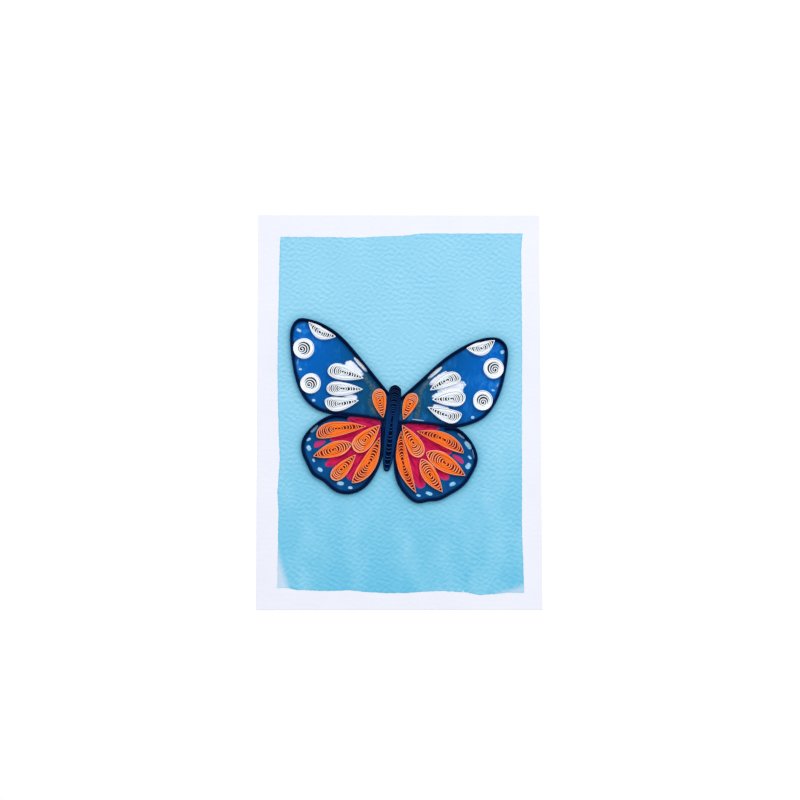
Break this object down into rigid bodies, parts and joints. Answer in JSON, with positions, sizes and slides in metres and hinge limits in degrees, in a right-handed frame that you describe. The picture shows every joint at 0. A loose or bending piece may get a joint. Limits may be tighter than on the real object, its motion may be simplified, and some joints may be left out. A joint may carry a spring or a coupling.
{
  "type": "quilled paper butterfly",
  "caption": "Flat paper card with a butterfly on it, its wings painted, rimmed with paper strip on edge and filled with pinched and round coils of rolled strip.",
  "frame": {"origin": "middle of the card's back face", "axes": "+Z out of the card's painted face, +Y towards the top of the picture along the card's long side"},
  "size_m": [0.127, 0.1778, 0.0037],
  "materials": {
    "card_paper": "matt cold-press watercolour paper",
    "sky_paint": "matt brushed paint",
    "forewing_paint": "matt brushed paint",
    "hindwing_paint": "matt brushed paint",
    "navy_paint": "matt brushed paint",
    "white_paint": "thin matt paint",
    "rose_paint": "matt brushed paint",
    "pale_dab_paint": "matt brushed paint",
    "navy_strip": "matt coloured paper",
    "white_strip": "matt white paper",
    "orange_strip": "matt coloured paper"
  },
  "bodies": {
    "root": {"body_paint": "navy_paint", "body_roll": "navy_strip", "card": "card_paper", "forewing_left_dabs": "pale_dab_paint", "forewing_left_paint": "forewing_paint", "forewing_left_rim": "navy_strip", "forewing_left_strokes": "white_paint", "forewing_right_dabs": "pale_dab_paint", "forewing_right_paint": "forewing_paint", "forewing_right_rim": "navy_strip", "forewing_right_strokes": "white_paint", "hindwing_left_dabs": "pale_dab_paint", "hindwing_left_paint": "hindwing_paint", "hindwing_left_rim": "navy_strip", "hindwing_left_strokes": "rose_paint", "hindwing_right_dabs": "pale_dab_paint", "hindwing_right_paint": "hindwing_paint", "hindwing_right_rim": "navy_strip", "hindwing_right_strokes": "rose_paint", "orange_drop_left": "orange_strip", "orange_drop_right": "orange_strip", "petal_1_left": "orange_strip", "petal_1_right": "orange_strip", "petal_2_left": "orange_strip", "petal_2_right": "orange_strip", "petal_3_left": "orange_strip", "petal_3_right": "orange_strip", "petal_4_left": "orange_strip", "petal_4_right": "orange_strip", "petal_5_left": "orange_strip", "petal_5_right": "orange_strip", "sky_paint": "sky_paint", "white_drop_lower_left": "white_strip", "white_drop_lower_right": "white_strip", "white_drop_middle_left": "white_strip", "white_drop_middle_right": "white_strip", "white_drop_upper_left": "white_strip", "white_drop_upper_right": "white_strip", "white_leaf_left": "white_strip", "white_leaf_right": "white_strip", "white_round_lower_left": "white_strip", "white_round_lower_right": "white_strip", "white_round_upper_left": "white_strip", "white_round_upper_right": "white_strip"}
  },
  "joints": []
}
